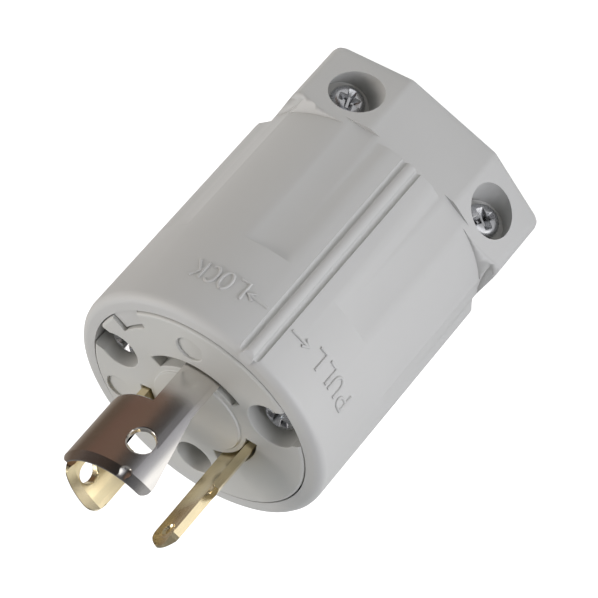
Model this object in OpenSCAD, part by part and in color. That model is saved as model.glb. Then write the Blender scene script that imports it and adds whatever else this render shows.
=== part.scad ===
// Locking power plug: a moulded shell with a cord clamp, a front insulator, a rear
// terminal carrier and three curved blades that turn in the socket to lock.
// Stands on its flat cord end with the blades up. Azimuths are counted in degrees
// from the alignment rib, which faces -Y, and grow towards -X.

/* [Shell] */
// Diameter of the round grip
body_d = 38; // [37:0.5:41]
// Height of the flat-sided cord block at the rear
block_h = 11.7; // [11:0.1:13]
// Height of the round grip above the cord block
grip_h = 36.9; // [36:0.1:40]
// Thickness of the grip wall
wall = 2.4; // [2:0.1:2.6]
// Radius of the rounded front rim
rim_round = 1.3; // [0.6:0.1:1.6]
// Distance from the axis to the flat that carries the rib's side of the cord block
block_flat = 17.6; // [17:0.1:18]
// Distance from the axis to the two slanted flats of the cord block
block_slant = 19; // [18.5:0.1:19.5]
// Distance from the axis to the two side flats of the cord block
block_side = 17.8; // [17.6:0.1:18.4]

/* [Grip] */
// Length of the finger hollows, up from the cord block
hollow_l = 22.7; // [16:0.1:28]
// Width of each finger hollow in degrees
hollow_w = 22; // [16:1:24]
// Radius of the curve across a finger hollow
hollow_r = 22; // [15:1:60]
// Width of the alignment rib between its two grooves
rib_w = 1.9; // [1.2:0.1:2.4]
// How far the alignment rib stands proud of the grip
rib_proud = 0.25; // [0.1:0.05:0.4]

/* [Blades] */
// Radius of the outer face of the blades
blade_r = 8.9; // [8.6:0.1:9.1]
// Thickness of the blades
blade_t = 1.1; // [0.9:0.1:1.2]
// Height of the neutral blade above the front rim
neutral_h = 18.8; // [17:0.1:21]
// Height of the live blade above the front rim
live_h = 17.3; // [16:0.1:20]
// Height of the earth blade above the front rim
earth_h = 16.9; // [16:0.1:20]

/* [Cord] */
// Diameter of the passage for the cord
cord_d = 12.4; // [10:0.2:13]
// Diameter of the clamp screws and of the assembly screws
screw_d = 3; // [3:0.1:3.2]

/* [Hidden] */
$fn = 76;
small = 24;

grey = [0.72, 0.72, 0.70];
carrier_grey = [0.42, 0.42, 0.41];
nickel = [0.74, 0.73, 0.71];
brass = [0.80, 0.66, 0.38];
zinc = [0.70, 0.71, 0.74];
eps = 0.01;
far = 60;

body_r = body_d/2;
rim_z = block_h + grip_h;
cavity_r = body_r - wall;
floor_z = block_h + 1.8;

// Front insulator and terminal carrier, stacked on the shell's screw posts
insert_t = 5;
insert_r = cavity_r - 0.3;
face_z = rim_z + 0.3;
boss_h = 0.35;
boss_r = 6.7;
insert_z = face_z - insert_t;
carrier_t = 15.9;
carrier_r = cavity_r - 1;
carrier_z = insert_z - carrier_t;
chamber_h = 13;
chamber_w = 9.4;
chamber_r = 7;
roof_z = carrier_z + chamber_h;

// Alignment tab inside the rim and its notch in the insulator
tab_a = [-76.5, -59.5];
tab_r = 14.15;
tab_gap = 0.25;

// Blades: [azimuths of the neck], and where each terminal stands
blade_in = blade_r - blade_t;
slot_play = 0.3;
slot_deep = 1.6;
neutral_neck = [-35, 0];
live_neck = [-161, -126];
earth_neck = [74, 128];
neutral_slot = [-74, 22];
live_slot = [-167, -124];
earth_slot = [68, 137];
neutral_at = -17.5;
live_at = -143.5;
earth_at = 101;
tail_w = 7;
tail_t = 1.2;
tail_r = 10.2;
web_t = 1.2;
tail_z = carrier_z + 1.6;
terminal_z = carrier_z + 6;
terminal_d = 3.5;

// Assembly screws: azimuth, distance from the axis, radius of the recess, head seat below the face
right_screw = [40, 12.8, 3.6, 3.4];
left_screw = [-99, 12.8, 3, 3.4];
back_screw = [159.4, 11.4, 2.75, 4.4];
head_r = 2.5;
head_h = 2;
post_r = 3.1;
post_screw_l = 6;

// Clamp screws, square to the axis through the slanted flats
clamp_x = 11.75;
clamp_z = 6.3;
clamp_seat_y = 10.9;
clamp_sink_r = 3.5;
clamp_h = 9.8;
clamp_gap = 0.7;
clamp_groove_z = [1.7, 3.5, 5.3, 8.3];
nut_w = 5.5;
nut_h = 2.4;
nut_y = 10.3;
slant_a = 27;
block_round = 1.2;
corner_round = 2;
shoulder = 2.8;

// Turns a child that points along +X to an azimuth counted from the rib
module about(a) rotate([0, 0, -90 - a]) children();

// Solid wedge between two azimuths, less than half a turn apart
module wedge(a, z0, z1)
  translate([0, 0, z0]) linear_extrude(z1 - z0)
    polygon([[0, 0], for (t = [0:4]) let (b = -90 - a[0] - (a[1] - a[0])*t/4) far*[cos(b), sin(b)]]);

module ring(r0, r1, z0, z1)
  translate([0, 0, z0]) difference() {
    cylinder(r = r1, h = z1 - z0);
    translate([0, 0, -1]) cylinder(r = r0, h = z1 - z0 + 2);
  }

// Part of a ring between two azimuths
module arc_wall(r0, r1, a, z0, z1)
  intersection() {
    ring(r0, r1, z0, z1);
    wedge(a, z0 - 1, z1 + 1);
  }

// Flat outline pushed out along the radius at azimuth a: [x towards growing azimuth, y up]
module radial(a, z, depth = 20)
  about(a) translate([0, 0, z]) rotate([90, 0, 90]) linear_extrude(depth) mirror([1, 0]) children();

// What a corner loses when it is rounded: sx and sy point from the corner to the outside.
// The first and last chords run on past the faces, so that they cross them cleanly.
module corner_waste(r, sx, sy, steps = 6) {
  c = r*(1 - cos(90/steps));
  d = r*(1 + sin(90/steps));
  polygon([[sx, sy], [sx, -sy*d], [sx*c, -sy*d],
           for (t = [1:steps - 1]) r*[sx*(cos(90*t/steps) - 1), sy*(sin(90*t/steps) - 1)],
           [-sx*d, sy*c], [-sx*d, sy]]);
}

// Outline of the cord block, moved inwards by d, anticlockwise from the rib's side
function block_half(d) = [
  [(block_slant - d - (block_flat - d)*cos(slant_a))/sin(slant_a), block_flat - d],
  [block_side - d, (block_slant - d - (block_side - d)*sin(slant_a))/cos(slant_a)]];
function block_outline(d) = let (h = block_half(d)) concat(
  [for (p = h) [p[0], -p[1]]], [for (i = [1, 0]) h[i]],
  [for (p = h) [-p[0], p[1]]], [for (i = [1, 0]) [-h[i][0], -h[i][1]]]);

// Rounds every corner of a convex outline that runs anticlockwise
function unit(v) = v/norm(v);
function rounded(pts, r, steps = 5) = let (n = len(pts)) [
  for (i = [0:n - 1])
    let (p = pts[i], u = unit(pts[(i + n - 1) % n] - p), v = unit(pts[(i + 1) % n] - p),
         half = acos(u*v)/2, c = p + unit(u + v)*r/sin(half), turn = 180 - 2*half,
         start = atan2(-u[0], u[1]) + 180)
    for (k = [0:steps]) let (b = start + turn*k/steps) c + r*[cos(b), sin(b)]];

// Cord block: rounded upright corners, rolled rear edges and conical shoulders under the grip
module block_solid() {
  levels = concat([for (t = [0:3]) block_round*[1 - sin(30*t), 1 - cos(30*t)]], [[0, block_h]]);
  corners = [for (l = levels, p = rounded(block_outline(l[0]), corner_round - l[0])) [p[0], p[1], l[1]]];
  intersection() {
    hull() polyhedron(corners, [[for (i = [0:len(corners) - 1]) i]]);
    rotate_extrude() polygon([[0, -1], [24, -1], [24, block_h - shoulder*1.3], [body_r + 0.2, block_h], [0, block_h]]);
  }
}

// Shallow finger hollow, an arc across and straight along the grip
module finger_hollow(a) {
  half_chord = body_r*sin(hollow_w/2);
  axis_r = body_r*cos(hollow_w/2) + sqrt(hollow_r*hollow_r - half_chord*half_chord);
  about(a) translate([axis_r, 0, block_h - 1]) cylinder(r = hollow_r, h = hollow_l + 1);
}

// Alignment rib: a bead between two grooves, the whole length of the grip and over the rim
module rib_grooves()
  for (s = [-1, 1]) about(s*(rib_w/2 + 0.2)/body_r*180/PI)
    translate([body_r + 0.05, 0, block_h - 1]) cylinder(r = 0.45, h = grip_h + 3, $fn = 16);

module rib_bead()
  intersection() {
    grip_outside(rib_proud);
    about(0) translate([body_r + rib_proud - rib_w/2, 0, block_h]) cylinder(r = rib_w/2, h = far, $fn = small);
  }

// Outer form of the grip, swollen by d
module grip_outside(d = 0) {
  r = rim_round + d;
  translate([0, 0, block_h]) rotate_extrude()
    polygon(concat([[0, 0], [body_r + d, 0]],
      [for (t = [0:4]) [body_r + d - r*(1 - cos(22.5*t)), grip_h + d - r*(1 - sin(22.5*t))]],
      [[0, grip_h + d]]));
}

module screw_post(s, $fn = small)
  about(s[0]) {
    translate([s[1], 0, floor_z - 1]) cylinder(r = post_r, h = carrier_z - floor_z + 1);
    translate([s[1], -1.5, floor_z - 1]) cube([cavity_r - s[1] + 0.5, 3, carrier_z - floor_z - 2]);
  }

module housing_shell() color(grey)
  difference() {
    union() {
      difference() {
        union() {
          grip_outside();
          block_solid();
          rib_bead();
        }
        translate([0, 0, floor_z]) cylinder(r = cavity_r, h = far);
      }
      for (s = [left_screw, right_screw, back_screw]) screw_post(s);
      arc_wall(tab_r, cavity_r + 0.5, tab_a, insert_z + 0.3, rim_z - 0.2);
    }
    translate([0, 0, -1]) cylinder(d = cord_d, h = far);
    for (s = [left_screw, right_screw, back_screw])
      about(s[0]) translate([s[1], 0, carrier_z - post_screw_l - 1]) cylinder(d = screw_d, h = far, $fn = small);
    translate([-far/2, clamp_gap/2, -1]) cube([far, far, clamp_h + 1.2]);
    for (s = [-1, 1]) translate([s*clamp_x, 0, clamp_z]) rotate([90, 0, 0]) {
      translate([0, 0, -1]) cylinder(d = screw_d + 0.4, h = far/2, $fn = small);
      translate([0, 0, clamp_seat_y]) cylinder(r = clamp_sink_r, h = 20, $fn = small + 4);
    }
    for (a = [22, 72, 108, 158], s = [-1, 1]) finger_hollow(s*a);
    rib_grooves();
  }

module cord_clamp() color(grey)
  difference() {
    intersection() {
      block_solid();
      translate([-far/2, clamp_gap, 0]) cube([far, far, clamp_h]);
    }
    translate([0, 0, -1]) cylinder(d = cord_d, h = far);
    for (z = clamp_groove_z) translate([0, 0, z]) rotate_extrude()
      polygon([[cord_d/2 - 1, -1.6], [cord_d/2 + 0.6, 0], [cord_d/2 - 1, 1.6]]);
    for (s = [-1, 1]) translate([s*clamp_x, 0, clamp_z]) rotate([-90, 0, 0]) {
      cylinder(d = screw_d + 0.4, h = far/2, $fn = small);
      translate([0, 0, nut_y]) rotate([0, 0, 30]) cylinder(d = (nut_w + 0.3)/cos(30), h = 10, $fn = 6);
    }
  }

// Pan head with a cross recess, on a plain shank that points down from the seat
module pan_screw(head, height, shank_d, shank_l, $fn = small)
  difference() {
    union() {
      rotate_extrude() polygon(concat([[0, 0], [head, 0], [head, height*0.35]],
        [for (t = [1:4]) [head - head*0.55*(1 - cos(22.5*t)), height*(0.35 + 0.65*sin(22.5*t))]], [[0, height]]));
      translate([0, 0, -shank_l]) cylinder(d = shank_d, h = shank_l + eps);
      translate([0, 0, -shank_l - 0.5]) cylinder(d1 = shank_d - 1, d2 = shank_d, h = 0.5);
    }
    for (b = [0, 90]) rotate([0, 0, b])
      translate([-head*0.55, -head*0.12, height*0.45]) cube([head*1.1, head*0.24, height]);
  }

module clamp_screw(s)
  color(zinc) translate([s*clamp_x, -clamp_seat_y, clamp_z]) rotate([90, 0, 0])
    pan_screw(head_r, head_h, screw_d, clamp_seat_y + nut_y + nut_h + 0.4);
module clamp_screw_left() clamp_screw(-1);
module clamp_screw_right() clamp_screw(1);

module clamp_nut(s, $fn = small)
  color(zinc) translate([s*clamp_x, nut_y, clamp_z]) rotate([-90, 0, 0]) difference() {
    rotate([0, 0, 30]) cylinder(d = nut_w/cos(30), h = nut_h, $fn = 6);
    translate([0, 0, -1]) cylinder(d = screw_d, h = nut_h + 2);
  }
module clamp_nut_left() clamp_nut(-1);
module clamp_nut_right() clamp_nut(1);

// Recess for an assembly screw, open to the edge of the insulator where it reaches it
module screw_recess(s, $fn = small)
  about(s[0]) translate([s[1], 0, 0]) {
    translate([0, 0, face_z - s[3]]) {
      cylinder(r = s[2], h = far);
      if (s[1] + s[2] > insert_r - 1) translate([0, -s[2]*0.8, 0]) cube([8, s[2]*1.6, far]);
    }
    translate([0, 0, insert_z - 1]) cylinder(d = screw_d + 0.4, h = far);
  }

// Slot of a blade: through for the neck, shallow for the rest of its length
module blade_slot(neck, slot)
  intersection() {
    ring(blade_in - slot_play, blade_r + slot_play, insert_z - 1, face_z + 1);
    union() {
      wedge([neck[0] - 2, neck[1] + 2], insert_z - 2, face_z);
      wedge(slot, face_z - slot_deep, face_z + 2);
    }
  }

module face_insert() color(grey)
  difference() {
    union() {
      translate([0, 0, insert_z]) rotate_extrude()
        polygon(concat([[0, 0], [insert_r, 0]],
          [for (t = [0:4]) [insert_r - 0.5*(1 - cos(22.5*t)), insert_t - 0.5 + 0.5*sin(22.5*t)]], [[0, insert_t]]));
      translate([0, 0, face_z - eps]) cylinder(r = boss_r, h = boss_h);
    }
    blade_slot(neutral_neck, neutral_slot);
    blade_slot(live_neck, live_slot);
    blade_slot(earth_neck, earth_slot);
    for (s = [left_screw, right_screw, back_screw]) screw_recess(s);
    arc_wall(tab_r - tab_gap, far, [tab_a[0] - 1, tab_a[1] + 1], insert_z - 1, far);
    about(-28.7) translate([12.26, 0, face_z - 0.35]) cylinder(r = 1.95, h = 2, $fn = small);
    about(-136) translate([13.6, 0, face_z - 0.35]) cylinder(r = 2, h = 2, $fn = small);
  }

module chamber(a)
  about(a) translate([chamber_r, -chamber_w/2, carrier_z - 1]) cube([far, chamber_w, chamber_h + 1]);

module terminal_carrier() color(carrier_grey)
  difference() {
    translate([0, 0, carrier_z]) cylinder(r = carrier_r, h = carrier_t);
    for (a = [neutral_at, live_at, earth_at]) chamber(a);
    for (n = [neutral_neck, live_neck, earth_neck])
      arc_wall(blade_in - slot_play, blade_r + slot_play, [n[0] - 2, n[1] + 2], roof_z - 2, far);
    for (s = [left_screw, right_screw, back_screw])
      about(s[0]) translate([s[1], 0, carrier_z - 1]) cylinder(d = screw_d + 0.4, h = far, $fn = small);
  }

// Terminal end of a blade: a web under the chamber's roof and a plate that hangs from it
module blade_tail(a, $fn = small)
  about(a) difference() {
    union() {
      translate([chamber_r + 0.1, -tail_w/2, roof_z - web_t])
        cube([tail_r + tail_t - chamber_r - 0.1, tail_w, web_t]);
      translate([tail_r, -tail_w/2, tail_z]) cube([tail_t, tail_w, roof_z - tail_z]);
    }
    translate([tail_r - 1, 0, terminal_z]) rotate([0, 90, 0]) cylinder(d = terminal_d, h = 3);
  }

// Lead-in bevels inside and outside a blade's tip: [height, width]
module tip_bevels(z, inside = [1.2, 0.4], outside = [1.3, 0.5])
  rotate_extrude() {
    polygon([[blade_in - 1, z - inside[0]*(1 + 1/inside[1])], [blade_in + 1.1*inside[1], z + 0.1*inside[0]],
             [blade_in - 1, z + 0.1*inside[0]]]);
    polygon([[blade_r + 1, z - outside[0]*(1 + 1/outside[1])], [blade_r - 1.1*outside[1], z + 0.1*outside[0]],
             [blade_r + 1, z + 0.1*outside[0]]]);
  }

// Waste beside the neck on the side that has no hook, leaving a head that flares to its tip
module flare_waste(neck_edge, heel, rise)
  radial(neck_edge, heel) polygon([[0, -far], [0, -0.6], [2.4, rise], [9, rise], [9, -far]]);

// Blade with a hook towards falling azimuths
module hooked_blade(neck, hook, heel, top, flare_rise) {
  foot = roof_z - web_t;
  difference() {
    arc_wall(blade_in, blade_r, hook, foot, top);
    wedge([hook[0] - 1, neck[0]], foot - 1, heel);
    flare_waste(neck[1], heel, flare_rise);
    radial(hook[0], heel) corner_waste(1.5, -1, -1);
    radial(hook[0], top) corner_waste(2.2, -1, 1);
    radial(hook[1], top) corner_waste(1.05, 1, 1);
    tip_bevels(top);
  }
}

module neutral_blade() color(nickel) {
  top = rim_z + neutral_h;
  difference() {
    hooked_blade(neutral_neck, [-91, 14], top - 11.8, top, 11);
    radial(-19, top - 5.8) circle(r = 1.85, $fn = small);
    about(-12) translate([blade_r + 0.3, 0, top - 0.9]) sphere(r = 0.95, $fn = 20);
  }
  blade_tail(neutral_at);
}

module live_blade() color(brass) {
  top = rim_z + live_h;
  difference() {
    hooked_blade(live_neck, [-175, -113], top - 10.2, top, 9);
    radial(-138.5, top - 3.1) circle(r = 1.6, $fn = small);
  }
  blade_tail(live_at);
}

module earth_blade() color(brass) {
  tongue = [93, 128];
  root_z = rim_z + 8;
  foot = roof_z - web_t;
  top = rim_z + earth_h;
  difference() {
    arc_wall(blade_in, blade_r, earth_neck, foot, top);
    wedge([earth_neck[0] - 1, tongue[0]], root_z, top + 1);
    radial(tongue[0], top) corner_waste(2.2, -1, 1);
    radial(tongue[1], top) corner_waste(2.2, 1, 1);
    tip_bevels(top, [1, 0.35], [1, 0.35]);
    about(112) translate([blade_in - 0.55, 0, top - 2.6]) sphere(r = 1.15, $fn = 20);
  }
  blade_tail(earth_at);
}

module terminal_screw(a)
  color(zinc) about(a) translate([tail_r + tail_t + 1, 0, terminal_z]) rotate([0, 90, 0])
    pan_screw(3, 2, terminal_d, 3.4);
module neutral_terminal_screw() terminal_screw(neutral_at);
module live_terminal_screw() terminal_screw(live_at);
module earth_terminal_screw() terminal_screw(earth_at);

module wire_plate(a, $fn = small)
  color(brass) about(a) difference() {
    translate([tail_r + tail_t, -tail_w/2, terminal_z - 3.6]) cube([1, tail_w, 7.2]);
    translate([tail_r, 0, terminal_z]) rotate([0, 90, 0]) cylinder(d = terminal_d, h = 5);
  }
module neutral_wire_plate() wire_plate(neutral_at);
module live_wire_plate() wire_plate(live_at);
module earth_wire_plate() wire_plate(earth_at);

module assembly_screw(s)
  color(zinc) about(s[0]) translate([s[1], 0, face_z - s[3]])
    pan_screw(head_r, head_h, screw_d, face_z - s[3] - carrier_z + post_screw_l);
module assembly_screw_left() assembly_screw(left_screw);
module assembly_screw_right() assembly_screw(right_screw);
module assembly_screw_back() assembly_screw(back_screw);

housing_shell();
cord_clamp();
clamp_screw_left();
clamp_screw_right();
clamp_nut_left();
clamp_nut_right();
face_insert();
terminal_carrier();
neutral_blade();
live_blade();
earth_blade();
neutral_terminal_screw();
live_terminal_screw();
earth_terminal_screw();
neutral_wire_plate();
live_wire_plate();
earth_wire_plate();
assembly_screw_left();
assembly_screw_right();
assembly_screw_back();
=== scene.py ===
# Locking power plug: materials, finished pieces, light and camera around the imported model.
# Row frame, metres: the plug stands on its cord end at z = 0 with its blades up, and the
# alignment rib faces -Y. Azimuths are degrees from the rib. They grow towards -X, the side
# marked PULL, and are negative towards +X, the side marked LOCK.
from collections import Counter
from math import atan2, cos, pi, radians, sin, sqrt

import bpy
from mathutils import Euler, Matrix, Vector


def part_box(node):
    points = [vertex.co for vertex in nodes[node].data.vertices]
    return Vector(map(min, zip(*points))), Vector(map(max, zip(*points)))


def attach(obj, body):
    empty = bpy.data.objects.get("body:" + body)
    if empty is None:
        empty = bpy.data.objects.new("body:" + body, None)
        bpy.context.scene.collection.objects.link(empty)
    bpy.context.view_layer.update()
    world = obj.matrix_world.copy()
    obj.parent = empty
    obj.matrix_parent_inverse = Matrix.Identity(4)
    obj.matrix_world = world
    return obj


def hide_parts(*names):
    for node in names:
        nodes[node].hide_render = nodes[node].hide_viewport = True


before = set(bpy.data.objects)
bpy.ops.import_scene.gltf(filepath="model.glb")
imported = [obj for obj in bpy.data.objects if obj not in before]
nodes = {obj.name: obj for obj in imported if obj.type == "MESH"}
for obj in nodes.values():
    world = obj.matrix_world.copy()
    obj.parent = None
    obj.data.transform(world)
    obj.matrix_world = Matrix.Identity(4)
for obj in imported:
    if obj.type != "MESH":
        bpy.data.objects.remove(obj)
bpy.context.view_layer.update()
mm = 0.001

shell_lo, shell_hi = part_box("housing_shell")
BODY_R = (shell_hi[0] - shell_lo[0]) / 2
RIM_Z = shell_hi[2]


# ---------------------------------------------------------------- camera

CAMERA_PLACE = (6.588 * mm, -375.726 * mm, 244.709 * mm)
CAMERA_TURN = (-52.4807, 34.4951, -155.4106)
FOCAL_LENGTH = 198.95
SENSOR_WIDTH = 36
CLIP_NEAR, CLIP_FAR = 0.01, 10


def add_camera():
    data = bpy.data.cameras.new("camera")
    data.sensor_width = SENSOR_WIDTH
    data.lens = FOCAL_LENGTH
    data.clip_start = CLIP_NEAR
    data.clip_end = CLIP_FAR
    camera = bpy.data.objects.new("camera", data)
    camera.location = CAMERA_PLACE
    camera.rotation_euler = Euler([radians(turn) for turn in CAMERA_TURN])
    bpy.context.collection.objects.link(camera)
    bpy.context.scene.camera = camera


add_camera()


# ---------------------------------------------------------------- materials

CLOUD_SCALE = 110.0
CLOUD_STRENGTH = 0.04
CLOUD_MEAN = 0.5
CLOUD_ROUGHNESS = 0.12
GRAIN_SCALE = 5500.0
GRAIN_DEPTH = 0.02 * mm
# Draw lines are fine across the blade and long up it
DRAW_LINE_SCALE = (6000.0, 6000.0, 260.0)
DRAW_LINE_DEPTH = 0.01 * mm
BLOTCH_SCALE = 320.0


def new_group(name, inputs, outputs):
    """An empty shader group with named inputs (with defaults) and outputs."""
    group = bpy.data.node_groups.new(name, "ShaderNodeTree")
    for label, kind, default in inputs:
        socket = group.interface.new_socket(label, in_out="INPUT", socket_type=kind)
        socket.default_value = default
    for label, kind in outputs:
        group.interface.new_socket(label, in_out="OUTPUT", socket_type=kind)
    start = group.nodes.new("NodeGroupInput")
    end = group.nodes.new("NodeGroupOutput")
    return group, start, end


def new_material(name):
    """A material with nodes, its node tree and its Principled shader."""
    material = bpy.data.materials.new(name)
    material.use_nodes = True
    tree = material.node_tree
    return material, tree, tree.nodes["Principled BSDF"]


def add(tree, kind, **settings):
    """A node of a tree with its settings, where names such as Scale set its sockets."""
    node = tree.nodes.new(kind)
    for key, value in settings.items():
        if key in node.inputs:
            node.inputs[key].default_value = value
        else:
            setattr(node, key, value)
    return node


def build_moulding_group():
    """Fine spark-eroded grain and faint flow clouds of moulded plastic."""
    group, start, end = new_group(
        "moulded_surface",
        [("Colour", "NodeSocketColor", (0.5, 0.5, 0.5, 1)), ("Cloud", "NodeSocketFloat", 0.04),
         ("Grain Scale", "NodeSocketFloat", 5000.0), ("Roughness", "NodeSocketFloat", 0.5)],
        [("Colour", "NodeSocketColor"), ("Roughness", "NodeSocketFloat"), ("Height", "NodeSocketFloat")])
    place = add(group, "ShaderNodeTexCoord")
    cloud = add(group, "ShaderNodeTexNoise", Scale=CLOUD_SCALE, Detail=3.0, Roughness=0.55)
    grain = add(group, "ShaderNodeTexNoise", Detail=2.0, Roughness=0.6)
    swing = add(group, "ShaderNodeMath", operation="SUBTRACT")
    swing.inputs[1].default_value = CLOUD_MEAN
    tone = add(group, "ShaderNodeMath", operation="MULTIPLY_ADD")
    tone.inputs[2].default_value = 1.0
    shade = add(group, "ShaderNodeHueSaturation")
    rough = add(group, "ShaderNodeMath", operation="MULTIPLY_ADD")
    rough.inputs[1].default_value = CLOUD_ROUGHNESS
    link = group.links.new
    link(place.outputs["Object"], cloud.inputs["Vector"])
    link(place.outputs["Object"], grain.inputs["Vector"])
    link(start.outputs["Grain Scale"], grain.inputs["Scale"])
    link(cloud.outputs["Fac"], swing.inputs[0])
    link(swing.outputs[0], tone.inputs[0])
    link(start.outputs["Cloud"], tone.inputs[1])
    link(tone.outputs[0], shade.inputs["Value"])
    link(start.outputs["Colour"], shade.inputs["Color"])
    link(shade.outputs["Color"], end.inputs["Colour"])
    link(swing.outputs[0], rough.inputs[0])
    link(start.outputs["Roughness"], rough.inputs[2])
    link(rough.outputs[0], end.inputs["Roughness"])
    link(grain.outputs["Fac"], end.inputs["Height"])
    return group


def build_metal_group():
    """Plated or rolled sheet metal: fine draw lines along the blade and soft blotches."""
    group, start, end = new_group(
        "metal_surface",
        [("Colour", "NodeSocketColor", (0.7, 0.7, 0.7, 1)),
         ("Stain", "NodeSocketColor", (0.5, 0.5, 0.5, 1)), ("Stain Amount", "NodeSocketFloat", 0.2),
         ("Roughness", "NodeSocketFloat", 0.2), ("Roughness Spread", "NodeSocketFloat", 0.1)],
        [("Colour", "NodeSocketColor"), ("Roughness", "NodeSocketFloat"), ("Height", "NodeSocketFloat")])
    place = add(group, "ShaderNodeTexCoord")
    stretch = add(group, "ShaderNodeMapping", Scale=DRAW_LINE_SCALE)
    lines = add(group, "ShaderNodeTexNoise", Scale=1.0, Detail=2.0, Roughness=0.6)
    blotch = add(group, "ShaderNodeTexNoise", Scale=BLOTCH_SCALE, Detail=3.0, Roughness=0.6)
    amount = add(group, "ShaderNodeMath", operation="MULTIPLY")
    mix = add(group, "ShaderNodeMix", data_type="RGBA")
    both = add(group, "ShaderNodeMath", operation="MULTIPLY")
    rough = add(group, "ShaderNodeMath", operation="MULTIPLY_ADD")
    link = group.links.new
    link(place.outputs["Object"], stretch.inputs["Vector"])
    link(stretch.outputs["Vector"], lines.inputs["Vector"])
    link(place.outputs["Object"], blotch.inputs["Vector"])
    link(blotch.outputs["Fac"], amount.inputs[0])
    link(start.outputs["Stain Amount"], amount.inputs[1])
    link(amount.outputs[0], mix.inputs["Factor"])
    link(start.outputs["Colour"], mix.inputs["A"])
    link(start.outputs["Stain"], mix.inputs["B"])
    link(mix.outputs["Result"], end.inputs["Colour"])
    link(lines.outputs["Fac"], both.inputs[0])
    link(blotch.outputs["Fac"], both.inputs[1])
    link(both.outputs[0], rough.inputs[0])
    link(start.outputs["Roughness Spread"], rough.inputs[1])
    link(start.outputs["Roughness"], rough.inputs[2])
    link(rough.outputs[0], end.inputs["Roughness"])
    link(lines.outputs["Fac"], end.inputs["Height"])
    return group


MOULDING = build_moulding_group()
METAL = build_metal_group()


def surface_material(name, group, values, bump, depth, **shader_values):
    """A Principled material fed by a group's colour, roughness and height."""
    material, tree, shader = new_material(name)
    for label, value in shader_values.items():
        shader.inputs[label.replace("_", " ")].default_value = value
    effect = add(tree, "ShaderNodeGroup", node_tree=group)
    for label, value in values.items():
        effect.inputs[label].default_value = value
    relief = add(tree, "ShaderNodeBump", Strength=bump, Distance=depth)
    tree.links.new(effect.outputs["Colour"], shader.inputs["Base Color"])
    tree.links.new(effect.outputs["Roughness"], shader.inputs["Roughness"])
    tree.links.new(effect.outputs["Height"], relief.inputs["Height"])
    tree.links.new(relief.outputs["Normal"], shader.inputs["Normal"])
    return material


def plastic(name, colour, roughness=0.5, bump=0.25):
    """Moulded plastic of a colour, with its grain and clouds."""
    values = {"Colour": (*colour, 1), "Cloud": CLOUD_STRENGTH, "Grain Scale": GRAIN_SCALE,
              "Roughness": roughness}
    return surface_material(name, MOULDING, values, bump, GRAIN_DEPTH, Specular_IOR_Level=0.45)


def metal(name, colour, stain, amount, roughness, spread, bump=0.1):
    """Sheet metal of a colour, with blotches of a stain. Lines and blotches add to its roughness by
    up to the spread."""
    values = {"Colour": (*colour, 1), "Stain": (*stain, 1), "Stain Amount": amount,
              "Roughness": roughness, "Roughness Spread": spread}
    return surface_material(name, METAL, values, bump, DRAW_LINE_DEPTH, Metallic=1.0)


SHELL_GREY = plastic("shell_grey_plastic", (0.50, 0.50, 0.485))
INSERT_GREY = plastic("insert_grey_plastic", (0.50, 0.50, 0.475), roughness=0.46, bump=0.15)
CARRIER_GREY = plastic("carrier_dark_plastic", (0.12, 0.12, 0.12))
NICKEL = metal("nickel_plate", (0.74, 0.72, 0.69), stain=(0.52, 0.48, 0.42),
               amount=0.3, roughness=0.19, spread=0.12)
BRASS = metal("blade_brass", (0.84, 0.73, 0.48), stain=(0.52, 0.40, 0.23),
              amount=0.4, roughness=0.20, spread=0.16)
ZINC = metal("zinc_steel", (0.62, 0.63, 0.65), stain=(0.30, 0.30, 0.31),
             amount=0.6, roughness=0.20, spread=0.30, bump=0.2)


# ---------------------------------------------------------------- modelling steps

# Least bend, in degrees, of an edge that is eased
EASED_BEND = 40
EASE_STEPS = 2
MERGE_REACH = 0.002 * mm
# Largest bend, in degrees, between plastic faces that are taken as one flat
FLAT_BEND = 0.5
BOWL_SMOOTHING = 20
PLASTIC_SLOTS = ("shell_plastic", "insulator_plastic")


def deselect():
    if bpy.context.object and bpy.context.object.mode != "OBJECT":
        bpy.ops.object.mode_set(mode="OBJECT")
    bpy.ops.object.select_all(action="DESELECT")


def only(piece):
    """Makes one piece the selected and active one."""
    deselect()
    piece.select_set(True)
    bpy.context.view_layer.objects.active = piece


def apply_modifiers(piece):
    only(piece)
    for modifier in list(piece.modifiers):
        bpy.ops.object.modifier_apply(modifier=modifier.name)


def select_bent_edges(mesh, angle, wanted):
    """Selects the edges that bend by more than the angle and whose two ends, in mm, wanted() accepts."""
    bpy.ops.object.mode_set(mode="EDIT")
    bpy.ops.mesh.select_mode(type="EDGE")
    bpy.ops.mesh.select_all(action="DESELECT")
    bpy.ops.mesh.edges_select_sharp(sharpness=radians(angle))
    bpy.ops.object.mode_set(mode="OBJECT")
    for item in list(mesh.vertices) + list(mesh.polygons):
        item.select = False
    for edge in mesh.edges:
        first, second = (mesh.vertices[i].co / mm for i in edge.vertices)
        edge.select = edge.select and wanted(first) and wanted(second)


def edit_vertices(mesh, wanted):
    """Opens edit mode with the vertices selected whose places, in mm, wanted() accepts."""
    for item in list(mesh.edges) + list(mesh.polygons):
        item.select = False
    for vertex in mesh.vertices:
        vertex.select = wanted(vertex.co / mm)
    bpy.ops.object.mode_set(mode="EDIT")
    bpy.ops.mesh.select_mode(type="VERT")


def cutting_block(size, centre):
    """A block of a size about a centre, to cut with."""
    deselect()
    bpy.ops.mesh.primitive_cube_add(size=1)
    bpy.ops.object.mode_set(mode="EDIT")
    bpy.ops.mesh.select_all(action="SELECT")
    bpy.ops.transform.resize(value=size)
    bpy.ops.transform.translate(value=centre)
    bpy.ops.object.mode_set(mode="OBJECT")
    return bpy.context.object


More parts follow.
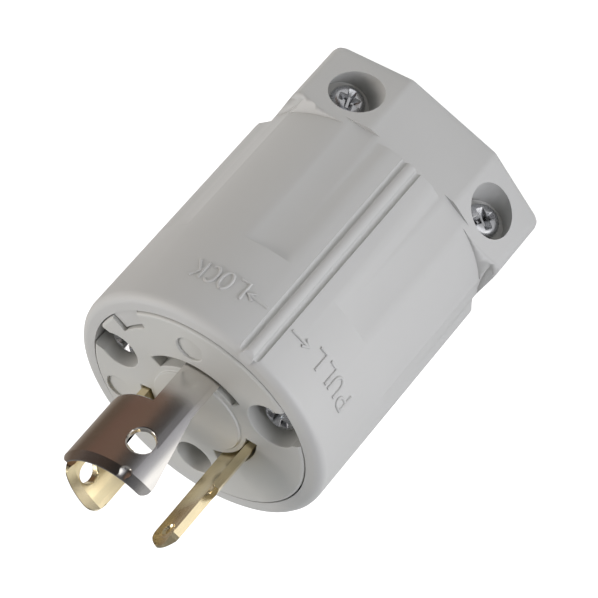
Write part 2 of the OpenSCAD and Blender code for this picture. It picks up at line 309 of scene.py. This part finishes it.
def cut_away(piece, cutter):
    """Takes a cutter's volume off a piece, and deletes the cutter."""
    cut = piece.modifiers.new("cut", "BOOLEAN")
    cut.operation = "DIFFERENCE"
    cut.solver = "EXACT"
    cut.object = cutter
    apply_modifiers(piece)
    bpy.data.objects.remove(cutter)


def clean_copy(node, name, slot):
    """A copy of a CAD node with its triangles merged, and with its flat faces joined if it is plastic."""
    piece = bpy.data.objects.new(name, nodes[node].data.copy())
    bpy.context.collection.objects.link(piece)
    only(piece)
    bpy.ops.mesh.customdata_custom_splitnormals_clear()
    bpy.ops.object.mode_set(mode="EDIT")
    bpy.ops.mesh.select_all(action="SELECT")
    bpy.ops.mesh.remove_doubles(threshold=MERGE_REACH)
    if slot in PLASTIC_SLOTS:
        bpy.ops.mesh.dissolve_limited(angle_limit=radians(FLAT_BEND))
    bpy.ops.object.mode_set(mode="OBJECT")
    return piece


def flatten_bowl(mesh, bowl):
    """Makes a press dimple shallower by smoothing the vertices that bowl() picks."""
    edit_vertices(mesh, bowl)
    bpy.ops.mesh.vertices_smooth(factor=0.5, repeat=BOWL_SMOOTHING)
    bpy.ops.object.mode_set(mode="OBJECT")


def ease_edges(mesh, width, where):
    """Eases the sharp edges that where() picks by a width in mm. Returns the edges that lie inside
    the new strips, and those on the strips' borders."""
    select_bent_edges(mesh, EASED_BEND, where)
    bpy.ops.object.mode_set(mode="EDIT")
    bpy.ops.mesh.bevel(offset=width * mm, segments=EASE_STEPS, affect="EDGES", clamp_overlap=False)
    bpy.ops.object.mode_set(mode="OBJECT")
    sides = Counter(key for face in mesh.polygons if face.select for key in face.edge_keys)
    inside = {key for key in sides if sides[key] > 1}
    return inside, set(sides) - inside


def break_shading(mesh, creases, inside, border):
    """Marks the creases sharp, with the eased strips' borders, and leaves the strips' insides smooth."""
    for angle, wanted in creases:
        select_bent_edges(mesh, angle, wanted)
        for edge in mesh.edges:
            edge.select = edge.key in border or (edge.select and edge.key not in inside)
        bpy.ops.object.mode_set(mode="EDIT")
        bpy.ops.mesh.mark_sharp()
        bpy.ops.object.mode_set(mode="OBJECT")


def finished_copy(node, name, material, slot, creases, ease=None, reshape=None, bowl=None):
    """A piece that stands for a CAD node and is made from its mesh. The shading breaks at its creases,
    given as pairs of an angle and a function that picks. Ease gives a width and a function that picks."""
    piece = clean_copy(node, name, slot)
    mesh = piece.data
    if reshape:
        reshape(piece)
        only(piece)
    if bowl:
        flatten_bowl(mesh, bowl)
    inside, border = ease_edges(mesh, *ease) if ease else (set(), set())
    bpy.ops.object.shade_smooth()
    break_shading(mesh, creases, inside, border)
    weigh = piece.modifiers.new("weigh", "WEIGHTED_NORMAL")
    weigh.keep_sharp = True
    apply_modifiers(piece)
    mesh.materials.clear()
    mesh.materials.append(material)
    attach(piece, "root")
    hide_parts(node)


def dress(node, material):
    """A CAD node that stays, with its material."""
    slots = nodes[node].material_slots
    if len(slots) == 0:
        nodes[node].data.materials.append(material)
    for slot in slots:
        slot.material = material


# ---------------------------------------------------------------- places on the plug

# Heights and radii in mm, angles in degrees. A point counts as on a surface within its NEAR value,
# and as on the plug's outer skin beyond SKIN_R
FACE_Z = 48.9
BELOW_FACE = 1
FACE_NEAR = 0.05
FACE_EDGE_R = 15.2
BLADE_IN, BLADE_OUT = 7.8, 8.9
BLADE_NEAR = 0.1
DIMPLE_REACH = 0.72
FLARE_TO = 20
SKIN_R = 15
SHOULDER_FOOT, SHOULDER_TOP = 7.5, 12
WALL_FOOT, WALL_TOP = 11.8, 46
RIB_REACH = 6


def ring_distance(point):
    """Distance from the plug's axis in mm."""
    return sqrt(point.x ** 2 + point.y ** 2)


def point_azimuth(point):
    """Azimuth of a point in radians."""
    return atan2(-point.x, -point.y)


def everywhere(point):
    return True


def outside(area):
    """Everything but what another function picks."""
    def picked(point):
        return not area(point)
    return picked


def on_grip_walls(point):
    """The grip's hollows and the block's flats, whose shallow edges stay crisp, away from the rib and
    the rim."""
    beside_rib = abs(point_azimuth(point)) > radians(RIB_REACH)
    return WALL_FOOT < point.z < WALL_TOP and beside_rib and ring_distance(point) > SKIN_R


def at_shoulders(point):
    """The narrow slopes between the block's flats and the grip, which look like soft fillets."""
    return SHOULDER_FOOT < point.z < SHOULDER_TOP and ring_distance(point) > SKIN_R


def at_insert_face(point):
    """The insulator's face and boss, up to the rounding of its outer edge."""
    return point.z > FACE_Z - FACE_NEAR and ring_distance(point) < FACE_EDGE_R


def free_edges(top):
    """Edges of a blade from the insulator up to a height, but for those just past the rib on its
    PULL side, where the neutral blade flares."""
    def picked(point):
        return FACE_Z - BELOW_FACE < point.z < top and not 0 < point_azimuth(point) < radians(FLARE_TO)
    return picked


def inner_edges(top):
    """Edges on the inner side of a blade, from the insulator up to a height."""
    def picked(point):
        return FACE_Z - BELOW_FACE < point.z < top and ring_distance(point) < BLADE_IN + BLADE_NEAR
    return picked


def at_dimple(azimuth, z):
    """The bowl of a blade's press dimple, which shades smoothly into the sheet."""
    angle = radians(azimuth)
    centre = Vector((-sin(angle), -cos(angle), 0)) * (BLADE_IN + BLADE_OUT) / 2 + Vector((0, 0, z))

    def picked(point):
        return (point - centre).length < DIMPLE_REACH
    return picked


# ---------------------------------------------------------------- moulded pieces

# Bends, in degrees, at which the shading breaks
MOULDED_BEND = 32
SLOPE_BEND = 62
HOLLOW_BEND = 14
FACE_EASE = 0.13
INSERT_R = 16.3
# Width of the insulator's outer band that moves outwards, and how far it moves, in mm
OUTER_BAND = 0.55
OUTER_SHIFT = 0.12


def widen_insert(piece):
    """Brings the insulator's outer wall closer to the shell's bore, for the thin gap of a moulded fit."""
    growth = (INSERT_R + OUTER_SHIFT) / INSERT_R
    edit_vertices(piece.data, lambda point: ring_distance(point) > INSERT_R - OUTER_BAND)
    bpy.ops.transform.resize(value=(growth, growth, 1), center_override=(0, 0, 0))


def add_moulded_pieces():
    shell_creases = ((MOULDED_BEND, outside(at_shoulders)), (SLOPE_BEND, everywhere),
                     (HOLLOW_BEND, on_grip_walls))
    finished_copy("housing_shell", "moulded_shell", SHELL_GREY, "shell_plastic", shell_creases)
    finished_copy("cord_clamp", "moulded_clamp", SHELL_GREY, "shell_plastic", shell_creases)
    finished_copy("face_insert", "moulded_insert", INSERT_GREY, "insulator_plastic",
                  ((MOULDED_BEND, everywhere),), ease=(FACE_EASE, at_insert_face), reshape=widen_insert)


add_moulded_pieces()


# ---------------------------------------------------------------- blades and terminals

SHEET_BEND = 14
BLADE_EASE = 0.2
EARTH_EASE = 0.45
# Heights in mm up to which each blade's edges are eased, below its tip
NEUTRAL_TOP, LIVE_TOP, EARTH_TOP = 64.6, 64.5, 61.4
# The live blade's neck is kept from this azimuth on. The strip that is cut off beside it has this
# size and centre, in mm, before it is turned there
LIVE_NECK_FROM = -146
NECK_STRIP = (3, 6, 8.65)
NECK_STRIP_CENTRE = (-1.5, 8.5, 51.325)


def trim_live_neck(piece):
    """Takes a strip off the hidden side of the live blade's neck, so that the neutral blade's hole
    looks past it."""
    strip = cutting_block([side * mm for side in NECK_STRIP], [place * mm for place in NECK_STRIP_CENTRE])
    strip.data.transform(Matrix.Rotation(radians(180 - LIVE_NECK_FROM), 4, "Z"))
    cut_away(piece, strip)


def add_blades():
    neutral_bowl = at_dimple(azimuth=-12, z=66.5)
    earth_bowl = at_dimple(azimuth=112, z=62.9)
    finished_copy("neutral_blade", "plated_blade", NICKEL, "nickel_plate",
                  ((SHEET_BEND, outside(neutral_bowl)),),
                  ease=(BLADE_EASE, free_edges(NEUTRAL_TOP)), bowl=neutral_bowl)
    finished_copy("live_blade", "brass_live_blade", BRASS, "brass_blade",
                  ((SHEET_BEND, everywhere),),
                  ease=(BLADE_EASE, free_edges(LIVE_TOP)), reshape=trim_live_neck)
    finished_copy("earth_blade", "brass_earth_blade", BRASS, "brass_blade",
                  ((SHEET_BEND, outside(earth_bowl)),),
                  ease=(EARTH_EASE, inner_edges(EARTH_TOP)), bowl=earth_bowl)


def dress_inner_pieces():
    """Materials of the CAD nodes that stay: the carrier, the terminals and the clamp's nuts."""
    dress("terminal_carrier", CARRIER_GREY)
    for name in nodes:
        if "wire_plate" in name:
            dress(name, BRASS)
        elif "nut" in name or "terminal_screw" in name:
            dress(name, ZINC)


add_blades()
dress_inner_pieces()


# ---------------------------------------------------------------- cross screws

HEAD_H = 2 * mm
SHANK_R = 1.5 * mm
THREAD_PITCH = 0.5 * mm
THREAD_DEPTH = 0.2 * mm
THREADED_SHARE = 0.6
POINT_H = 0.5 * mm
TURNED_SIDES = 48
SCREW_MERGE = 0.001 * mm
SCREW_EASE = 0.06 * mm
# Least bends, in degrees, of a screw's edges that are eased and at which its shading breaks
SCREW_EASED_BEND, SCREW_BEND = 50, 36
# The head: its flat crown and its seat as shares of its radius, and the feet of its dome and of its
# upright rim as shares of its height
CROWN, SEAT = 0.45, 0.97
DOME_FOOT, RIM_FOOT = 0.4, 0.06
# A bar of the cross: its length and width as shares of the head's radius, its depth and top as shares
# of the head's height, the height below which it is foot, and the foot's scale
BAR_LENGTH, BAR_WIDTH = 1.44, 0.5
BAR_DEPTH, BAR_TOP, BAR_FOOT_BELOW = 0.5, 1.06, 0.8
BAR_FOOT = (0.45, 0.3, 1)


def turned_piece(name, profile):
    """A solid turned about Z from its half outline, as (radius, height) points from top to bottom."""
    deselect()
    bpy.ops.mesh.primitive_plane_add(size=1 * mm)
    piece = bpy.context.object
    piece.name = name
    bpy.ops.object.mode_set(mode="EDIT")
    bpy.ops.mesh.select_mode(type="VERT")
    bpy.ops.mesh.select_all(action="SELECT")
    bpy.ops.mesh.merge(type="CENTER")
    bpy.ops.transform.translate(value=(profile[0][0], 0, profile[0][1]))
    for (r0, z0), (r1, z1) in zip(profile, profile[1:]):
        bpy.ops.mesh.extrude_vertices_move(TRANSFORM_OT_translate={"value": (r1 - r0, 0, z1 - z0)})
    bpy.ops.mesh.select_all(action="SELECT")
    bpy.ops.mesh.spin(steps=TURNED_SIDES, angle=2 * pi, center=(0, 0, 0), axis=(0, 0, 1))
    bpy.ops.mesh.select_all(action="SELECT")
    bpy.ops.mesh.remove_doubles(threshold=SCREW_MERGE)
    bpy.ops.mesh.normals_make_consistent(inside=False)
    bpy.ops.object.mode_set(mode="OBJECT")
    return piece


def driver_bar(radius, turn):
    """One bar of the cross recess: as wide as the head takes at its top, and narrow at its foot."""
    depth = HEAD_H * BAR_DEPTH
    size = (radius * BAR_LENGTH, radius * BAR_WIDTH, depth)
    bar = cutting_block(size, (0, 0, HEAD_H * BAR_TOP - depth / 2))
    edit_vertices(bar.data, lambda point: point.z * mm < HEAD_H * BAR_FOOT_BELOW)
    bpy.ops.transform.resize(value=BAR_FOOT, center_override=(0, 0, 0))
    bpy.ops.mesh.select_all(action="SELECT")
    bpy.ops.transform.rotate(value=turn, orient_axis="Z", center_override=(0, 0, 0))
    bpy.ops.object.mode_set(mode="OBJECT")
    return bar


def screw_outline(radius, length):
    """Half outline of a pan head screw: domed head, flat seat, plain shank, thread and point."""
    outline = [(0, HEAD_H)]
    for angle in range(0, 91, 15):
        outline.append((radius * (CROWN + (1 - CROWN) * sin(radians(angle))),
                        HEAD_H * (DOME_FOOT + (1 - DOME_FOOT) * cos(radians(angle)))))
    outline += [(radius, HEAD_H * RIM_FOOT), (radius * SEAT, 0), (SHANK_R, 0)]
    turns = int((length * THREADED_SHARE) / THREAD_PITCH)
    start = -length + POINT_H + turns * THREAD_PITCH
    for i in range(turns):
        outline.append((SHANK_R, start - i * THREAD_PITCH))
        outline.append((SHANK_R - THREAD_DEPTH, start - (i + 0.5) * THREAD_PITCH))
    return outline + [(SHANK_R, -length + POINT_H), (SHANK_R - POINT_H, -length), (0, -length)]


def cross_screw(radius, length):
    """A pan head screw that points down -Z from its seat at the origin."""
    screw = turned_piece("cross_screw", screw_outline(radius, length))
    for turn in (0, pi / 2):
        cut_away(screw, driver_bar(radius, turn))
    ease = screw.modifiers.new("ease", "BEVEL")
    ease.width = SCREW_EASE
    ease.segments = EASE_STEPS
    ease.limit_method = "ANGLE"
    ease.angle_limit = radians(SCREW_EASED_BEND)
    apply_modifiers(screw)
    bpy.ops.object.shade_smooth_by_angle(angle=radians(SCREW_BEND))
    screw.data.materials.append(ZINC)
    return screw


def clamp_seat(lo, hi):
    """Where a clamp screw's seat lies in its node's box, with its head towards -Y."""
    middle = (lo + hi) / 2
    return Matrix.Translation((middle.x, lo.y + HEAD_H, middle.z)) @ Matrix.Rotation(pi / 2, 4, "X")


def face_seat(lo, hi):
    """Where an assembly screw's seat lies in its node's box, with its head up."""
    middle = (lo + hi) / 2
    return Matrix.Translation((middle.x, middle.y, hi.z - HEAD_H))


def fit_screws(along, seat_in, rows):
    """Cross screws of one size for CAD screws that lie along an axis, 1 for Y or 2 for Z. A row gives
    the node, the piece's name and the turn of its cross in degrees."""
    lo, hi = (Vector(corner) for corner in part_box(rows[0][0]))
    pattern = cross_screw((hi.x - lo.x) / 2, hi[along] - lo[along] - HEAD_H)
    for node, name, turn in rows:
        lo, hi = (Vector(corner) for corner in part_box(node))
        screw = bpy.data.objects.new(name, pattern.data.copy())
        bpy.context.collection.objects.link(screw)
        screw.data.transform(seat_in(lo, hi) @ Matrix.Rotation(radians(turn), 4, "Z"))
        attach(screw, "root")
        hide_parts(node)
    bpy.data.objects.remove(pattern)


fit_screws(1, clamp_seat, (("clamp_screw_left", "clamp_cross_screw_left", 62),
                           ("clamp_screw_right", "clamp_cross_screw_right", 20)))
fit_screws(2, face_seat, (("assembly_screw_left", "face_cross_screw_left", 30),
                          ("assembly_screw_right", "face_cross_screw_right", 12)))
fit_screws(2, face_seat, (("assembly_screw_back", "face_cross_screw_back", 50),))


# ---------------------------------------------------------------- operating words

LETTER_H = 2.75 * mm
LETTER_W = 1.5 * mm
LETTER_Z = RIM_Z - 8.65 * mm
STROKE_R = 0.23 * mm
STROKE_BEND = 50
ARROW_STEPS = 8
# An arrow's head: its length as a share of the arrow, and its half width
ARROW_HEAD = 0.3
ARROW_WING = 0.6 * mm


def arc(cx, cy, rx, ry, start, end, steps):
    """Points of an elliptical arc in a letter's unit box."""
    return [(cx + rx * cos(radians(start + (end - start) * i / steps)),
             cy + ry * sin(radians(start + (end - start) * i / steps))) for i in range(steps + 1)]


LETTERS = {
    "L": [[(0, 1), (0, 0), (0.9, 0)]],
    "O": [arc(0.5, 0.5, 0.5, 0.5, 90, 450, 20)],
    "C": [arc(0.5, 0.5, 0.5, 0.5, 50, 310, 14)],
    "K": [[(0, 1), (0, 0)], [(0.95, 1), (0, 0.4)], [(0.3, 0.6), (1, 0)]],
    "P": [[(0, 0), (0, 1)] + arc(0.5, 0.73, 0.45, 0.27, 90, -90, 8) + [(0, 0.46)]],
    "U": [[(0, 1)] + arc(0.5, 0.4, 0.5, 0.4, 180, 360, 10) + [(1, 1)]],
}


def on_grip(azimuth, z):
    """Point on the grip's surface."""
    angle = radians(azimuth)
    return Vector((-sin(angle) * BODY_R, -cos(angle) * BODY_R, z))


def raised_stroke(points):
    """Half-round bead along points given as (azimuth, z), as a curve."""
    curve = bpy.data.curves.new("stroke", "CURVE")
    curve.dimensions = "3D"
    curve.bevel_depth = STROKE_R
    curve.bevel_resolution = 2
    curve.use_fill_caps = True
    line = curve.splines.new("POLY")
    line.points.add(len(points) - 1)
    for point, (azimuth, z) in zip(line.points, points):
        point.co = (*on_grip(azimuth, z), 1)
    stroke = bpy.data.objects.new("stroke", curve)
    bpy.context.collection.objects.link(stroke)
    return stroke


def word_strokes(word, first, step):
    """Strokes of a word that is read with the blades up. Its letters' middles lie a step apart."""
    degrees_per_width = LETTER_W / BODY_R * 180 / pi
    strokes = []
    for i, letter in enumerate(word):
        centre = first + step * i
        for line in LETTERS[letter]:
            strokes.append([(centre - (x - 0.5) * degrees_per_width, LETTER_Z + y * LETTER_H)
                            for x, y in line])
    return strokes


def arrow_strokes(start, end):
    """Shaft and head of an arrow from one azimuth to another, at the letters' middle height."""
    middle = LETTER_Z + LETTER_H * 0.5
    back = (start - end) * ARROW_HEAD
    shaft = [(start + (end - start) * i / ARROW_STEPS, middle) for i in range(ARROW_STEPS + 1)]
    head = [(end + back, middle + ARROW_WING), (end, middle), (end + back, middle - ARROW_WING)]
    return [shaft, head]


def operating_mark(name, strokes):
    """A raised word with its turning arrow, as one piece."""
    curves = [raised_stroke(points) for points in strokes]
    deselect()
    for curve in curves:
        curve.select_set(True)
    bpy.context.view_layer.objects.active = curves[0]
    bpy.ops.object.convert(target="MESH")
    bpy.ops.object.join()
    mark = bpy.context.object
    mark.name = name
    bpy.ops.object.shade_smooth_by_angle(angle=radians(STROKE_BEND))
    mark.data.materials.clear()
    mark.data.materials.append(SHELL_GREY)
    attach(mark, "root")


operating_mark("lock_word", word_strokes("LOCK", first=-19, step=-6.3) + arrow_strokes(-6, -15.5))
operating_mark("pull_word", word_strokes("PULL", first=42, step=-7) + arrow_strokes(6.5, 15.5))


# ---------------------------------------------------------------- stage and light

FLOOR_SIZE = 6
FLOOR_DROP = 0.2 * mm
SEEN_WHITE = 1.0
FLOOR_LIGHT = 0.42
SKY_LIGHT = 0.24
SURROUND_R = 75 * mm
SURROUND_SIDES = 64
SURROUND_TOP = 1.8
# Tone of the surroundings by azimuth: the back, the LOCK side, the rib, the PULL side and the back again
SURROUND = [
    (-180, (0.80, 0.77, 0.74)), (-160, (0.42, 0.39, 0.36)), (-147, (0.30, 0.25, 0.21)),
    (-124, (0.13, 0.09, 0.065)), (-110, (0.13, 0.09, 0.065)), (-95, (0.17, 0.10, 0.075)),
    (-52, (0.18, 0.11, 0.08)), (-38, (0.08, 0.06, 0.05)), (-24, (0.055, 0.05, 0.048)),
    (-12, (0.20, 0.20, 0.22)), (-3, (0.50, 0.51, 0.56)), (8, (1.15, 1.15, 1.17)),
    (16, (1.60, 1.60, 1.60)), (26, (1.10, 1.10, 1.10)), (34, (1.00, 1.00, 0.98)),
    (45, (1.80, 1.77, 1.70)), (60, (1.80, 1.77, 1.70)), (90, (0.95, 0.95, 0.92)),
    (120, (0.90, 0.90, 0.88)), (180, (0.80, 0.77, 0.74))]
# Azimuth, elevation, power and colour of each light
LIGHTS = {
    "window": (47, 5, 2.74, (0.95, 0.96, 1.04)),
    "left_lamp": (-100, 42, 2.15, (1.0, 0.94, 0.90)),
    "back_lamp": (-150, 45, 1.25, (0.93, 0.98, 1.05)),
    "front_lamp": (0, 5, 0.35, (1.0, 0.97, 0.93)),
}
LIGHT_SIZE = 0.4
LIGHT_REACH = 0.6
LIGHT_AIM = Vector((0, 0, 0.03))


def show_white(tree, level, strength):
    """Sets a strength to full white for the camera's own rays, and to a level for all others."""
    path = add(tree, "ShaderNodeLightPath")
    glow = add(tree, "ShaderNodeMapRange")
    glow.inputs["To Min"].default_value = level
    glow.inputs["To Max"].default_value = SEEN_WHITE
    tree.links.new(path.outputs["Is Camera Ray"], glow.inputs["Value"])
    tree.links.new(glow.outputs["Result"], strength)


def add_floor():
    """White paper that glows to the camera, so that no shadow edge shows on it."""
    bpy.ops.mesh.primitive_plane_add(size=FLOOR_SIZE, location=(0, 0, -FLOOR_DROP))
    floor = bpy.context.object
    floor.name = "floor"
    material, tree, shader = new_material("floor_paper")
    shader.inputs["Base Color"].default_value = (0.3, 0.3, 0.3, 1)
    shader.inputs["Roughness"].default_value = 0.9
    shader.inputs["Emission Color"].default_value = (1, 1, 1, 1)
    show_white(tree, FLOOR_LIGHT, shader.inputs["Emission Strength"])
    floor.data.materials.append(material)


def add_sky():
    """Even white surroundings, as white to the camera as the floor."""
    world = bpy.data.worlds.new("studio")
    bpy.context.scene.world = world
    world.use_nodes = True
    background = world.node_tree.nodes["Background"]
    background.inputs["Color"].default_value = (1, 1, 1, 1)
    show_white(world.node_tree, SKY_LIGHT, background.inputs["Strength"])


def surround_material(name, level):
    """A glow whose tone runs with the azimuth, as a dim room's does beside a window."""
    material, tree, shader = new_material(name)
    shader.inputs["Base Color"].default_value = (0, 0, 0, 1)
    shader.inputs["Specular IOR Level"].default_value = 0
    shader.inputs["Emission Strength"].default_value = level * SURROUND_TOP
    place = add(tree, "ShaderNodeTexCoord")
    turn = add(tree, "ShaderNodeMapping", Rotation=(0, 0, radians(90)))
    around = add(tree, "ShaderNodeTexGradient", gradient_type="RADIAL")
    ramp = add(tree, "ShaderNodeValToRGB")
    stops = ramp.color_ramp.elements
    while len(stops) > 1:
        stops.remove(stops[-1])
    for i, (azimuth, colour) in enumerate(SURROUND):
        stop = stops[0] if i == 0 else stops.new(0.5)
        stop.position = 0.5 - azimuth / 360
        stop.color = (*(tone / SURROUND_TOP for tone in colour), 1)
    tree.links.new(place.outputs["Object"], turn.inputs["Vector"])
    tree.links.new(turn.outputs["Vector"], around.inputs["Vector"])
    tree.links.new(around.outputs["Fac"], ramp.inputs["Fac"])
    tree.links.new(ramp.outputs["Color"], shader.inputs["Emission Color"])
    return material


def add_surround(name, low, high, level):
    """A round card between two heights, which only reflections see."""
    bpy.ops.mesh.primitive_cylinder_add(vertices=SURROUND_SIDES, radius=SURROUND_R, depth=high - low,
                                        end_fill_type="NOTHING", location=(0, 0, (low + high) / 2))
    card = bpy.context.object
    card.name = name
    card.data.materials.append(surround_material(name, level))
    card.visible_camera = False
    card.visible_diffuse = False
    card.visible_shadow = False


def add_light(name, azimuth, elevation, power, colour):
    """A soft disk light on a sphere round the plug's middle, which it is aimed at."""
    turn, rise = radians(azimuth), radians(elevation)
    place = Vector((-sin(turn) * cos(rise) * LIGHT_REACH, -cos(turn) * cos(rise) * LIGHT_REACH,
                    LIGHT_AIM.z + sin(rise) * LIGHT_REACH))
    data = bpy.data.lights.new(name, "AREA")
    data.shape = "DISK"
    data.size = LIGHT_SIZE
    data.energy = power
    data.color = colour
    light = bpy.data.objects.new(name, data)
    light.location = place
    light.rotation_euler = (LIGHT_AIM - place).to_track_quat("-Z", "Y").to_euler()
    bpy.context.collection.objects.link(light)


bpy.context.scene.view_settings.view_transform = "Standard"
deselect()
add_floor()
add_surround("low_surround", low=1 * mm, high=66 * mm, level=1)
add_surround("high_surround", low=67 * mm, high=130 * mm, level=0.2)
add_sky()
for name, settings in LIGHTS.items():
    add_light(name, *settings)
